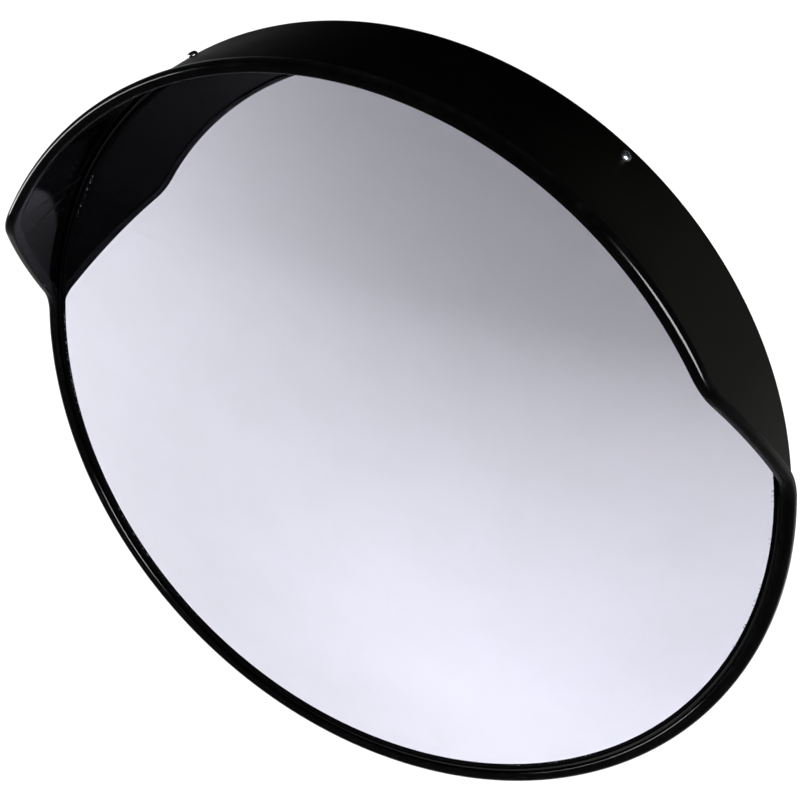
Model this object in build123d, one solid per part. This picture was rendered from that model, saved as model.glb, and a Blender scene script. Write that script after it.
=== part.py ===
from build123d import *
import os
from math import sqrt, sin, cos, tan, radians

# Convex security mirror with a hood, on a wall bracket that swings and tilts.
# Millimetres. The wall is the plane y = 0, the mirror looks along -Y, and +Z is up.
# The head is modelled about the centre of its rim and then moved out from the wall.

os.makedirs("parts", exist_ok=True)

# ---- rim and hood ----
WALL_R = 294.2           # outer radius of the ring and hood wall
WALL_T = 2.0             # wall thickness
WALL_BACK_Y = 7.8        # rear edge of the ring, behind the rim plane
SNAP_H = 2.6             # height of the snap lip on the rear edge

# ---- side outline of the free edge: flat ring, ramp, hood ----
RING_FRONT_Y = -4.8      # front of the ring's bead
RAMP_FOOT_Z = 29.8       # height at which the ramp leaves the ring
RAMP_TOP_Z = 129.6       # height at which the ramp meets the hood
HOOD_FOOT_Y = -86.8      # front of the hood where the ramp meets it
HOOD_TOP_Y = -90.6       # front of the hood at its crown
RAMP_FOOT_FILLET = 34.0
RAMP_TOP_FILLET = 36.0

# ---- bead ----
TRIM_OUT_T = 5.6         # how far the bead stands outside the wall
TRIM_CAP = 3.0           # thickness of the bead in front of the wall
TRIM_DEPTH = 8.0         # depth of its legs
TRIM_LEG_T = 1.2         # thickness of its inner leg
TRIM_ROUND = 4.6         # outer front rounding
TRIM_IN_ROUND = 1.4      # inner front rounding

# ---- lens and gasket ----
DOME_R = 950.0           # radius of the mirror's front surface
LENS_T = 2.8
LENS_SIGHT_Y = -2.4      # place of the front surface where it leaves the gasket
LENS_BITE = 1.0          # how far the gasket reaches over the lens
GASKET_WEB = 1.0
GASKET_FRONT = 1.8       # front lip thickness
GASKET_BACK = 2.75       # rear lip thickness at the lens's edge
GASKET_FOOT = 5.0        # how far the rear lip reaches in
LEDGE_RUN = 8.0          # how far the ledge reaches in behind the lens
LEDGE_T = 3.0

# ---- rear shell ----
SHELL_GAP = 0.2          # skirt to the bead, lugs to the wall
SKIRT_GAP = 0.1          # skirt to gasket
SKIRT_T = 2.7            # thickness of the skirt
SKIRT_FRONT_Y = -1.5     # front edge of the skirt
SKIRT_STOP = 2.3         # how far its rear stops short of the ring's rear edge
LUG_FRONT_Y = -8.5       # front edge of the skirt's screw lugs
LUG_WIDTH = 18.0
SHELL_T = 2.6
PAN_MID_RUN = 75.8       # how far inside the skirt the pan's middle point lies
PAN_MID_Y = 43.0
PAN_FLAT_R = 92.0
PAN_FLAT_Y = 54.5        # rear face of the pan round the boss
PAN_BACK_Y = 58.0        # rear face of the boss that the bracket sits on
BOSS_R = 74.0
PAD_R = 66.0
PAD_T = 7.5
RIB_COUNT = 10
RIB_T = 2.4
RIB_H = 9.0
DRAIN_COUNT = 3
DRAIN_R = 3.0
DRAIN_STEP = 7.0         # degrees between drain holes

# ---- frame screws ----
SCREW_ANGLES = (-31.8, 35.3)   # either side of the crown, as drilled
SCREW_Y = -4.6
SCREW_HEAD_R = 4.15
SCREW_HEAD_H = 3.2
SCREW_R = 2.1
SCREW_TIP_GAP = 0.3      # how far the tip stays inside its lug
SCREW_SLOT_W = 1.0
SCREW_SLOT_L = 4.6
SCREW_SLOT_D = 1.6

# ---- head bracket and its fixings ----
PLATE_R = 58.0           # backing plate
PLATE_T = 3.0
BRACKET_W = 96.0
BRACKET_H = 96.0
BRACKET_T = 4.0
BRACKET_CORNER = 10.0
HEAD_BOLT_SPACING = 64.0
HEAD_BOLT_R = 3.0
HEAD_BOLT_HOLE_R = 3.3
HEAD_BOLT_AF = 10.0
HEAD_BOLT_HEAD_H = 4.0
HEAD_WASHER_R = 6.0
HEAD_WASHER_T = 1.6
HEAD_NUT_H = 5.0
HEAD_BOLT_PROUD = 2.5
EAR_T = 4.0
EAR_W = 34.0
EAR_REACH = 40.0         # pivot behind the bracket's plate

# ---- pivots ----
PIVOT_R = 5.0            # bolt radius
PIVOT_RUN = 0.05         # running clearance in the arm, on the radius
PIVOT_FIT = 0.25         # clearance in ears and lugs, on the radius
PIVOT_AF = 16.0
PIVOT_HEAD_H = 6.4
PIVOT_NUT_H = 9.0
PIVOT_WASHER_R = 10.0
PIVOT_WASHER_T = 2.0
PIVOT_PROUD = 3.0
DISC_R = 13.0
DISC_T = 2.0
DISC_GAP = 0.2           # disc to barrel
BARREL_R = 14.0
BARREL_LEN = 38.0

# ---- arm ----
ARM_LEN = 92.0           # swing pivot to tilt pivot
ARM_R = 13.0
ARM_T = 2.5

# ---- wall bracket ----
WALL_W = 96.0
WALL_H = 126.0
WALL_PLATE_T = 4.0
WALL_CORNER = 12.0
WALL_HOLE_R = 4.25
WALL_SPACING_X = 66.0
WALL_SPACING_Z = 96.0
LUG_T = 5.0
LUG_W = 40.0
LUG_REACH = 46.0         # swing pivot out from the wall
GUSSET_T = 4.0
GUSSET_H = 22.0
GUSSET_REACH = 24.0

# ---- sizes that follow ----
RIM_R = WALL_R + TRIM_OUT_T
WALL_IN_R = WALL_R - WALL_T
TRIM_IN_R = WALL_IN_R - TRIM_LEG_T
SKIRT_R = TRIM_IN_R - SHELL_GAP
LUG_R = WALL_IN_R - SHELL_GAP
SKIRT_IN_R = SKIRT_R - SKIRT_T
SKIRT_BACK_Y = WALL_BACK_Y - SKIRT_STOP
GASKET_R = SKIRT_IN_R - SKIRT_GAP
LENS_R = GASKET_R - GASKET_WEB
LENS_SIGHT_R = LENS_R - LENS_BITE
DOME_CENTRE_Y = LENS_SIGHT_Y + sqrt(DOME_R**2 - LENS_SIGHT_R**2)
LENS_BACK_Y = DOME_CENTRE_Y - sqrt((DOME_R - LENS_T)**2 - LENS_R**2)
LEDGE_Y = LENS_BACK_Y + GASKET_BACK
LEDGE_IN_R = LENS_R - LEDGE_RUN
PAN_MID_R = SKIRT_R - PAN_MID_RUN
SCREW_REACH = WALL_R - SKIRT_IN_R - SCREW_TIP_GAP
EAR_IN_X = BARREL_LEN / 2 + DISC_GAP + DISC_T
TILT_Y = -(LUG_REACH + ARM_LEN)
HEAD_PLATE_Y = TILT_Y - EAR_REACH - BRACKET_T
RIM_Y = HEAD_PLATE_Y - PAN_BACK_Y
FAR = 2 * RIM_R


def turned(*points):
    """Closed outline of (radius, y) points, turned about the Y axis."""
    return revolve(make_face(Polyline(*points, close=True)), Axis.Y)


def tube(r_in, r_out, y_front, y_back):
    """Ring about the Y axis."""
    return turned((r_in, y_front), (r_out, y_front), (r_out, y_back), (r_in, y_back))


def rod(radius, length, start, axis):
    """Cylinder that starts at a point and runs along an axis."""
    body = Solid.make_cylinder(radius, length, Plane(origin=start, z_dir=axis))
    return Part(body.wrapped)


def hexagon(across_flats, height, start, axis):
    """Hexagonal head or nut with its corners turned off."""
    plane = Plane(origin=start, z_dir=axis)
    blank = extrude(plane * RegularPolygon(across_flats / 2, 6, major_radius=False), height)
    corner = across_flats / sqrt(3)
    rise = (corner - across_flats / 2) * tan(radians(30))
    cap = rod(corner, height - rise, start, axis)
    cone = Solid.make_cone(corner, across_flats / 2, rise,
                           Plane(origin=plane.origin + plane.z_dir * (height - rise), z_dir=axis))
    return blank & (cap + Part(cone.wrapped))


def end_circle(body, point):
    """The circular edge of a body nearest to a point."""
    return body.edges().filter_by(GeomType.CIRCLE).sort_by_distance(point)[0]


def ring_washer(r_in, r_out, thick, start, axis):
    return rod(r_out, thick, start, axis) - rod(r_in, thick, start, axis)


def at_head(shape):
    return Pos(0, RIM_Y, 0) * shape


def save(name, *solids):
    shape = solids[0] if len(solids) == 1 else Compound(children=list(solids))
    export_step(shape, f"parts/{name}.step")


# ---- free edge: everything behind this side outline is ring or hood ----
crown_slope = (HOOD_TOP_Y - HOOD_FOOT_Y) / (WALL_IN_R - RAMP_TOP_Z)
far_top_y = HOOD_FOOT_Y + crown_slope * (FAR - RAMP_TOP_Z)
outline = make_face(Polyline(
    (FAR, -FAR), (RING_FRONT_Y, -FAR), (RING_FRONT_Y, RAMP_FOOT_Z),
    (HOOD_FOOT_Y, RAMP_TOP_Z), (far_top_y, FAR), (FAR, FAR), close=True))
foot = outline.vertices().sort_by_distance((RING_FRONT_Y, RAMP_FOOT_Z, 0))[0]
outline = fillet(foot, RAMP_FOOT_FILLET)
top = outline.vertices().sort_by_distance((HOOD_FOOT_Y, RAMP_TOP_Z, 0))[0]
outline = fillet(top, RAMP_TOP_FILLET)


def behind_edge(setback):
    """Everything further back than the free edge by a setback."""
    face = offset(outline, -setback) if setback else outline
    return extrude(Plane.YZ * face, FAR, both=True)


edge_front = behind_edge(0)
edge_cap = behind_edge(TRIM_CAP)
edge_leg = behind_edge(TRIM_DEPTH)

# ---- hood_frame ----
HOOD_FRONT = -RIM_R / 2
ring_wall = turned(
    (WALL_IN_R, HOOD_FRONT), (WALL_R, HOOD_FRONT), (WALL_R, WALL_BACK_Y),
    (WALL_IN_R - SNAP_H, WALL_BACK_Y), (WALL_IN_R, WALL_BACK_Y - SNAP_H))
hood_frame = ring_wall & edge_cap

# ---- edge_trim: a U-section bead pushed on the whole free edge, thin leg inside ----
free_edge = [e for e in outline.edges()
             if max(abs((e @ 0.5).X), abs((e @ 0.5).Y)) < FAR * 0.9]


def edge_depth(point):
    """How far a point lies behind the free edge, measured in the side view."""
    flat = Vertex(point.Y, point.Z, 0)
    return min(flat.distance_to(e) for e in free_edge)


def front_edges(solid, radius):
    """Edges of the bead's front that lie on a cylinder about the Y axis."""
    found = []
    for edge in solid.edges():
        mid = edge @ 0.5
        on_cylinder = abs(sqrt(mid.X**2 + mid.Z**2) - radius) < 0.05
        if on_cylinder and edge_depth(mid) < TRIM_CAP / 2:
            found.append(edge)
    return found


edge_trim = (tube(TRIM_IN_R, RIM_R, HOOD_FRONT, TRIM_DEPTH) & edge_front) - edge_leg
edge_trim = fillet(front_edges(edge_trim, RIM_R), TRIM_ROUND)
edge_trim = fillet(front_edges(edge_trim, TRIM_IN_R), TRIM_IN_ROUND)
edge_trim -= tube(WALL_IN_R, WALL_R, HOOD_FRONT, TRIM_DEPTH) & edge_cap

# ---- mirror_lens ----
lens_arc_back = DOME_R - LENS_T


def dome_y(radius, sphere):
    """Place of a sphere's front at a radius from the axis."""
    return DOME_CENTRE_Y - sqrt(sphere**2 - radius**2)


def dome_cap(sphere, radius):
    """Solid between a sphere's front and the dome's centre, inside a cylinder."""
    front = ThreePointArc(
        (0, dome_y(0, sphere)), (radius / 2, dome_y(radius / 2, sphere)),
        (radius, dome_y(radius, sphere)))
    rest = Polyline((radius, dome_y(radius, sphere)), (radius, FAR / 4), (0, FAR / 4),
                    (0, dome_y(0, sphere)))
    return revolve(make_face(front + rest), Axis.Y)


mirror_lens = dome_cap(DOME_R, LENS_R) - dome_cap(lens_arc_back, LENS_R + 1)

# ---- lens_gasket: U section, its rear lip resting on the shell's ledge ----
gasket_front_y = LENS_SIGHT_Y - GASKET_FRONT
gasket_block = turned(
    (LENS_SIGHT_R, gasket_front_y + 0.5), (LENS_SIGHT_R + 0.6, gasket_front_y),
    (GASKET_R - 0.4, gasket_front_y), (GASKET_R, gasket_front_y + 0.4), (GASKET_R, LEDGE_Y),
    (LENS_R - GASKET_FOOT, LEDGE_Y), (LENS_R - GASKET_FOOT, LENS_SIGHT_Y))
behind_lens = dome_cap(lens_arc_back, LENS_R)
gasket_front_ring = tube(LENS_SIGHT_R, GASKET_R + 1, -FAR / 4, FAR / 4)
gasket_behind = gasket_block & behind_lens
gasket_before = (gasket_block - dome_cap(DOME_R, LENS_R)) & gasket_front_ring
lens_gasket = gasket_before + gasket_behind

# ---- rear_shell ----
pan_shift = SHELL_T * 1.25
skirt_out = Line((SKIRT_R, SKIRT_FRONT_Y), (SKIRT_R, SKIRT_BACK_Y))
pan_out = ThreePointArc((SKIRT_R, SKIRT_BACK_Y), (PAN_MID_R, PAN_MID_Y), (PAN_FLAT_R, PAN_FLAT_Y))
boss_step = PAN_BACK_Y - PAN_FLAT_Y
back = Polyline((PAN_FLAT_R, PAN_FLAT_Y), (BOSS_R, PAN_FLAT_Y), (BOSS_R - boss_step, PAN_BACK_Y),
                (0, PAN_BACK_Y), (0, PAN_BACK_Y - PAD_T), (PAD_R, PAN_BACK_Y - PAD_T),
                (PAD_R + 1, PAN_FLAT_Y - SHELL_T), (PAN_FLAT_R, PAN_FLAT_Y - SHELL_T))
pan_in = ThreePointArc((PAN_FLAT_R, PAN_FLAT_Y - SHELL_T), (PAN_MID_R, PAN_MID_Y - pan_shift),
                       (LEDGE_IN_R, LEDGE_Y + LEDGE_T))
ledge = Polyline((LEDGE_IN_R, LEDGE_Y + LEDGE_T), (LEDGE_IN_R, LEDGE_Y), (SKIRT_IN_R, LEDGE_Y),
                 (SKIRT_IN_R, SKIRT_FRONT_Y), (SKIRT_R, SKIRT_FRONT_Y))
rear_shell = revolve(make_face(skirt_out + pan_out + back + pan_in + ledge), Axis.Y)

# The skirt's front is low, but for a lug at each frame screw.
for angle in SCREW_ANGLES:
    sector = Rot(0, angle, 0) * Pos(0, 0, FAR / 2) * Box(LUG_WIDTH, 2 * FAR, FAR)
    rear_shell += tube(SKIRT_IN_R, LUG_R, LUG_FRONT_Y, LEDGE_Y) & sector

# Ribs follow the inside of the pan.
rib_outer = make_face(
    ThreePointArc((PAN_FLAT_R - 1, PAN_FLAT_Y - SHELL_T + 0.5),
                  (PAN_MID_R, PAN_MID_Y - pan_shift + 0.5), (LEDGE_IN_R + 1, LEDGE_Y + LEDGE_T + 1))
    + Polyline((LEDGE_IN_R + 1, LEDGE_Y + LEDGE_T + 1), (LEDGE_IN_R, LEDGE_Y + 1),
               (PAN_MID_R, PAN_MID_Y - pan_shift - RIB_H),
               (PAN_FLAT_R, PAN_FLAT_Y - SHELL_T - RIB_H),
               (PAD_R, PAN_BACK_Y - PAD_T), (PAD_R, PAN_FLAT_Y - SHELL_T + 0.5),
               (PAN_FLAT_R - 1, PAN_FLAT_Y - SHELL_T + 0.5)))
rib = extrude(rib_outer, RIB_T / 2, both=True)
ribs = [Rot(0, (i + 0.5) * 360 / RIB_COUNT, 0) * rib for i in range(RIB_COUNT)]
rear_shell = rear_shell + ribs

for i in range(DRAIN_COUNT):
    angle = 90 + (i - (DRAIN_COUNT - 1) / 2) * DRAIN_STEP
    drain = rod(DRAIN_R, WALL_R, (0, LEDGE_Y + LEDGE_T + DRAIN_R + 3, 0), (1, 0, 0))
    rear_shell -= Rot(0, angle, 0) * drain

corners = [(sx * HEAD_BOLT_SPACING / 2, sz * HEAD_BOLT_SPACING / 2)
           for sx in (-1, 1) for sz in (-1, 1)]
for x, z in corners:
    rear_shell -= rod(HEAD_BOLT_HOLE_R, 4 * PAD_T, (x, PAN_BACK_Y - 2 * PAD_T, z), (0, 1, 0))

# ---- frame_screws, with their holes in the ring and the skirt ----
screws = []
for angle in SCREW_ANGLES:
    out = Vector(sin(radians(angle)), 0, cos(radians(angle)))
    seat = out * (WALL_R + 0.02) + Vector(0, SCREW_Y, 0)
    inside = seat - out * 1.5 * SCREW_REACH
    hood_frame -= rod(SCREW_R + 0.1, 2 * SCREW_REACH, inside, out)
    rear_shell -= rod(SCREW_R + 0.02, 2 * SCREW_REACH, inside, out)
    head = rod(SCREW_HEAD_R, SCREW_HEAD_H, seat, out)
    head = fillet(end_circle(head, seat + out * SCREW_HEAD_H), SCREW_HEAD_H * 0.55)
    shank = rod(SCREW_R, SCREW_REACH, seat - out * SCREW_REACH, out)
    shank = chamfer(end_circle(shank, seat - out * SCREW_REACH), 0.8)
    top_plane = Plane(origin=seat + out * (SCREW_HEAD_H - SCREW_SLOT_D / 2), z_dir=out,
                      x_dir=(0, 1, 0))
    cross = top_plane * (Box(SCREW_SLOT_L, SCREW_SLOT_W, SCREW_SLOT_D)
                         + Box(SCREW_SLOT_W, SCREW_SLOT_L, SCREW_SLOT_D))
    screws.append((head + shank) - cross)

# ---- backing_plate ----
pad_front = PAN_BACK_Y - PAD_T
backing_plate = rod(PLATE_R, PLATE_T, (0, pad_front - PLATE_T, 0), (0, 1, 0))
for x, z in corners:
    backing_plate -= rod(HEAD_BOLT_HOLE_R, 4 * PAD_T, (x, pad_front - 2 * PAD_T, z), (0, 1, 0))

# ---- head_bracket ----
bracket_back = PAN_BACK_Y + BRACKET_T
tilt_y = bracket_back + EAR_REACH
plate_blank = Pos(0, PAN_BACK_Y + BRACKET_T / 2, 0) * Box(BRACKET_W, BRACKET_T, BRACKET_H)
head_bracket = fillet(plate_blank.edges().filter_by(Axis.Y), BRACKET_CORNER)
for side in (-1, 1):
    x0 = EAR_IN_X if side > 0 else -EAR_IN_X - EAR_T
    ear_mid = (bracket_back - BRACKET_T / 2 + tilt_y) / 2
    ear_len = tilt_y - bracket_back + BRACKET_T / 2
    ear = Pos(x0 + EAR_T / 2, ear_mid, 0) * Box(EAR_T, ear_len, EAR_W)
    ear += rod(EAR_W / 2, EAR_T, (x0, tilt_y, 0), (1, 0, 0))
    ear -= rod(PIVOT_R + PIVOT_FIT, EAR_T * 3, (x0 - EAR_T, tilt_y, 0), (1, 0, 0))
    head_bracket += ear
for x, z in corners:
    head_bracket -= rod(HEAD_BOLT_HOLE_R, 4 * BRACKET_T, (x, PAN_BACK_Y - BRACKET_T, z), (0, 1, 0))

# ---- head bolts, washers and nuts ----
bolts = []
washers = []
nuts = []
bolt_seat = pad_front - PLATE_T
bolt_end = bracket_back + HEAD_WASHER_T + HEAD_NUT_H + HEAD_BOLT_PROUD
for x, z in corners:
    head = hexagon(HEAD_BOLT_AF, HEAD_BOLT_HEAD_H, (x, bolt_seat, z), (0, -1, 0))
    shank = rod(HEAD_BOLT_R, bolt_end - bolt_seat, (x, bolt_seat, z), (0, 1, 0))
    bolts.append(head + chamfer(end_circle(shank, (x, bolt_end, z)), 0.8))
    washers.append(ring_washer(HEAD_BOLT_R + 0.2, HEAD_WASHER_R, HEAD_WASHER_T,
                               (x, bracket_back, z), (0, 1, 0)))
    nut = hexagon(HEAD_BOLT_AF, HEAD_NUT_H, (x, bracket_back + HEAD_WASHER_T, z), (0, 1, 0))
    nuts.append(nut - rod(HEAD_BOLT_R + 0.02, 4 * HEAD_NUT_H, (x, bracket_back, z), (0, 1, 0)))


def pivot_set(origin, axis, inner, lug):
    """Bolt, washers, nut and friction discs of a pivot whose lugs start inner from its centre."""
    origin = Vector(*origin)
    axis = Vector(*axis)
    lug_out = inner + lug
    head_seat = lug_out + PIVOT_WASHER_T
    length = 2 * head_seat + PIVOT_NUT_H + PIVOT_PROUD
    bolt = hexagon(PIVOT_AF, PIVOT_HEAD_H, origin - axis * head_seat, -axis)
    shank = rod(PIVOT_R, length, origin - axis * head_seat, axis)
    tip = origin + axis * (length - head_seat)
    bolt += chamfer(end_circle(shank, tip), 1.2)
    rings = [ring_washer(PIVOT_R + PIVOT_FIT, PIVOT_WASHER_R, PIVOT_WASHER_T, start, axis)
             for start in (origin - axis * head_seat, origin + axis * lug_out)]
    nut = hexagon(PIVOT_AF, PIVOT_NUT_H, origin + axis * head_seat, axis)
    nut -= rod(PIVOT_R + 0.02, PIVOT_NUT_H * 2, origin + axis * lug_out, axis)
    discs = [ring_washer(PIVOT_R + PIVOT_FIT, DISC_R, DISC_T, start, axis)
             for start in (origin - axis * inner, origin + axis * (inner - DISC_T))]
    return bolt, rings, nut, discs


tilt_bolt, tilt_rings, tilt_nut, tilt_discs = pivot_set((0, tilt_y, 0), (1, 0, 0), EAR_IN_X, EAR_T)

# ---- swivel_arm: modelled in the wall's frame ----
swing_y = -LUG_REACH
swing_barrel = rod(BARREL_R, BARREL_LEN, (0, swing_y, -BARREL_LEN / 2), (0, 0, 1))
tilt_barrel = rod(BARREL_R, BARREL_LEN, (-BARREL_LEN / 2, TILT_Y, 0), (1, 0, 0))
arm_tube = rod(ARM_R, ARM_LEN, (0, swing_y, 0), (0, -1, 0))
arm_bore = rod(ARM_R - ARM_T, ARM_LEN, (0, swing_y, 0), (0, -1, 0))
swivel_arm = (arm_tube - arm_bore) + swing_barrel + tilt_barrel
swivel_arm -= rod(PIVOT_R + PIVOT_RUN, 2 * BARREL_LEN, (0, swing_y, -BARREL_LEN), (0, 0, 1))
swivel_arm -= rod(PIVOT_R + PIVOT_RUN, 2 * BARREL_LEN, (-BARREL_LEN, TILT_Y, 0), (1, 0, 0))

# ---- wall_bracket ----
plate = Pos(0, -WALL_PLATE_T / 2, 0) * Box(WALL_W, WALL_PLATE_T, WALL_H)
wall_bracket = fillet(plate.edges().filter_by(Axis.Y), WALL_CORNER)
for side in (-1, 1):
    z0 = EAR_IN_X if side > 0 else -EAR_IN_X - LUG_T
    lug = Pos(0, -(LUG_REACH + WALL_PLATE_T / 2) / 2, z0 + LUG_T / 2) * Box(
        LUG_W, LUG_REACH - WALL_PLATE_T / 2, LUG_T)
    lug += rod(LUG_W / 2, LUG_T, (0, swing_y, z0), (0, 0, 1))
    lug -= rod(PIVOT_R + PIVOT_FIT, 3 * LUG_T, (0, swing_y, z0 - LUG_T), (0, 0, 1))
    wall_bracket += lug
    outer_z = side * (EAR_IN_X + LUG_T)
    gusset = make_face(Polyline(
        (-WALL_PLATE_T / 2, outer_z - side), (-GUSSET_REACH, outer_z - side),
        (-GUSSET_REACH, outer_z), (-WALL_PLATE_T, outer_z + side * GUSSET_H),
        (-WALL_PLATE_T / 2, outer_z + side * GUSSET_H), close=True))
    wall_bracket += extrude(Plane.YZ * gusset, GUSSET_T / 2, both=True)
for x in (-WALL_SPACING_X / 2, WALL_SPACING_X / 2):
    for z in (-WALL_SPACING_Z / 2, WALL_SPACING_Z / 2):
        wall_bracket -= rod(WALL_HOLE_R, 4 * WALL_PLATE_T, (x, -2 * WALL_PLATE_T, z), (0, 1, 0))

swing_bolt, swing_rings, swing_nut, swing_discs = pivot_set(
    (0, swing_y, 0), (0, 0, 1), EAR_IN_X, LUG_T)

# ---- one file for each piece ----
head_pieces = {
    "mirror_lens": [mirror_lens],
    "lens_gasket": [lens_gasket],
    "hood_frame": [hood_frame],
    "edge_trim": [edge_trim],
    "rear_shell": [rear_shell],
    "frame_screws": screws,
    "backing_plate": [backing_plate],
    "bracket_bolts": bolts,
    "bracket_washers": washers,
    "bracket_nuts": nuts,
    "head_bracket": [head_bracket],
    "tilt_bolt": [tilt_bolt],
    "tilt_washers": tilt_rings,
    "tilt_nut": [tilt_nut],
    "tilt_friction_discs": tilt_discs,
}
wall_pieces = {
    "swivel_arm": [swivel_arm],
    "wall_bracket": [wall_bracket],
    "pan_bolt": [swing_bolt],
    "pan_washers": swing_rings,
    "pan_nut": [swing_nut],
    "pan_friction_discs": swing_discs,
}
for name, solids in head_pieces.items():
    save(name, *[at_head(s) for s in solids])
for name, solids in wall_pieces.items():
    save(name, *solids)
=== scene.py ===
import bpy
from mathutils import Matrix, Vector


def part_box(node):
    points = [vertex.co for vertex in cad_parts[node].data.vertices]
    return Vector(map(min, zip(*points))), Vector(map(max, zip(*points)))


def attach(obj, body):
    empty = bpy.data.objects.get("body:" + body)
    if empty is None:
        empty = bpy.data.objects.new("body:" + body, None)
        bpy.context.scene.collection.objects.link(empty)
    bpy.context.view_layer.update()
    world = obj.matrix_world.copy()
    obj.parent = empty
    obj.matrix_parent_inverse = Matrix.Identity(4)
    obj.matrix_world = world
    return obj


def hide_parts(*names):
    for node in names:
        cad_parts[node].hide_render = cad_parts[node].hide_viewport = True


bl_info = {
    "name": "Hooded convex mirror",
    "version": (1, 0, 0),
    "blender": (4, 5, 0),
    "location": "View3D > Sidebar > Mirror",
    "description": "Makes the pieces and finishes of a hooded convex mirror on a swing bracket",
    "category": "Object",
}

from math import cos, pi, radians, sin, sqrt, tan

import bpy
from mathutils import Matrix, Vector

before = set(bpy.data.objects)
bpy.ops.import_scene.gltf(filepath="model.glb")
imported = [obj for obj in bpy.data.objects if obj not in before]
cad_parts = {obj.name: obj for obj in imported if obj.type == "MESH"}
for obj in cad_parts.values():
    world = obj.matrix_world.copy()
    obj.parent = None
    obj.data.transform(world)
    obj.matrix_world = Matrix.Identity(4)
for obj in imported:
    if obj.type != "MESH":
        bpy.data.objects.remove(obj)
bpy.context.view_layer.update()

MM = 0.001
X_AXIS, Y_AXIS, Z_AXIS = Vector((1, 0, 0)), Vector((0, 1, 0)), Vector((0, 0, 1))

# The head. RIM_Y is the plane that the depths of the ring, the hood and the bead are taken from.
RIM_RADIUS = 0.3
RING_BACK = 7.8 * MM
RIM_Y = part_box("hood_frame")[1][1] - RING_BACK
WALL_OUT = 294.2 * MM           # outer radius of the hood wall
WALL_IN = 292.2 * MM            # inner radius of the hood wall
WALL_CAP = 3.0 * MM             # depth of the wall's free edge inside the bead
INNER_FACE = (0.2934, 0.2930)   # radii between which the outer finish turns into the inner one
CHIPPED_BAND = (0.2835, 0.2858)  # radii between which the lens coating is chipped
# depths between which the rear shell's colour darkens to painted shade in its front recess
SHELL_PAINTED_SHADE = (RIM_Y + 12 * MM, RIM_Y + 8 * MM)
STEPS_ROUND = 720
SCREW_ANGLES = (-31.8, 35.3)    # either side of the crown
SCREW_TURNS = (20.0, 52.0)      # how far each cross recess is turned

# The bracket. A lug is a plate with a pivot bolt through it, on the wall or on the head.
PAN_Y = -46.0 * MM
TILT_Y = -138.0 * MM
LUG_IN = 21.2 * MM              # from the middle of a pivot to the inside of a lug
PAN_LUG = 5.0 * MM
TILT_LUG = 4.0 * MM
PLATE = 4.0 * MM                # thickness of both plates
BOLT_OFFSET = 32.0 * MM         # of the four head bolts from the axis
PIVOT_FLATS = 16 * MM
HEAD_FLATS = 10 * MM
BARREL_RADIUS = 14.0 * MM
TUBE_RADIUS = 13.0 * MM
BROKEN_EDGE = 0.5 * MM

# The stage.
BACKDROP_SPAN = (120.0, 75.0)   # degrees to the left and to the right of straight ahead
# Each light looks straight down: name, place, width, share of the key power.
STUDIO_LIGHTS = (
    ("overhead", (-0.8, 0.2, 1.7), 1.2, 0.15),
    ("rear", (-0.8, 1.6, 1.7), 1.2, 0.27),
    ("rear_left", (-2.0, 1.6, 1.7), 1.2, 0.28),
    ("rear_right", (1.8, 1.6, 1.7), 1.2, 0.21),
    ("left", (-3.0, -1.2, 2.2), 2.0, 0.45),
    ("right", (1.8, 0.2, 1.7), 1.2, 0.54),
    ("front", (-0.8, -2.8, 1.7), 1.2, 0.04),
    ("front_left", (-2.0, -2.1, 1.7), 1.4, 0.09),
    ("far", (0.6, 3.0, 1.7), 1.4, 0.12),
    ("front_right", (1.8, -2.8, 1.7), 1.2, 0.11),
)
CAMERA_TURN = (28.62, 29.28, 0.55)          # degrees to the right, above, and tilted about Y
CAMERA_REACH = (6.0, 0.0070788, 0.0496292)  # back, right and up, in rim radii
SENSOR_WIDTH = 36.0
FOCAL_LENGTH = 113.805


# ---------------------------------------------------------------- helpers

def deselect():
    if bpy.context.mode != "OBJECT":
        bpy.ops.object.mode_set(mode="OBJECT")
    bpy.ops.object.select_all(action="DESELECT")


def only(obj):
    deselect()
    obj.select_set(True)
    bpy.context.view_layer.objects.active = obj


def edit_all(obj):
    """Opens a piece's mesh with all of it selected."""
    only(obj)
    bpy.ops.object.mode_set(mode="EDIT")
    bpy.ops.mesh.select_all(action="SELECT")


def named(obj, name):
    obj.name = name
    obj.data.name = name
    return obj


def loop(name, places):
    """A closed loop of edges through a line of places."""
    deselect()
    bpy.ops.mesh.primitive_circle_add(vertices=len(places), radius=0.1, fill_type="NOTHING")
    obj = named(bpy.context.object, name)
    for vertex, place in zip(obj.data.vertices, places):
        vertex.co = place
    return obj


def outline_ring(name, points):
    """A closed loop of (radius, y) points in the plane x = 0, radius along z."""
    return loop(name, [(0.0, y, radius) for radius, y in points])


def open_loop(obj):
    """Removes the edge between the first and the last vertex of a loop."""
    ends = {0, len(obj.data.vertices) - 1}
    only(obj)
    bpy.ops.object.mode_set(mode="EDIT")
    bpy.ops.mesh.select_mode(type="EDGE")
    bpy.ops.mesh.select_all(action="DESELECT")
    bpy.ops.object.mode_set(mode="OBJECT")
    for edge in obj.data.edges:
        edge.select = set(edge.vertices) == ends
    bpy.ops.object.mode_set(mode="EDIT")
    bpy.ops.mesh.delete(type="EDGE_FACE")
    bpy.ops.object.mode_set(mode="OBJECT")


def spin_round(obj, steps):
    """Turns the outline once round the Y axis through the origin and closes it."""
    edit_all(obj)
    bpy.ops.mesh.spin(steps=steps, angle=2 * pi, center=(0, 0, 0), axis=(0, 1, 0))
    bpy.ops.mesh.select_all(action="SELECT")
    bpy.ops.mesh.remove_doubles(threshold=1e-6)
    bpy.ops.mesh.dissolve_degenerate(threshold=1e-7)
    bpy.ops.mesh.normals_make_consistent(inside=False)
    bpy.ops.object.mode_set(mode="OBJECT")


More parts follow.
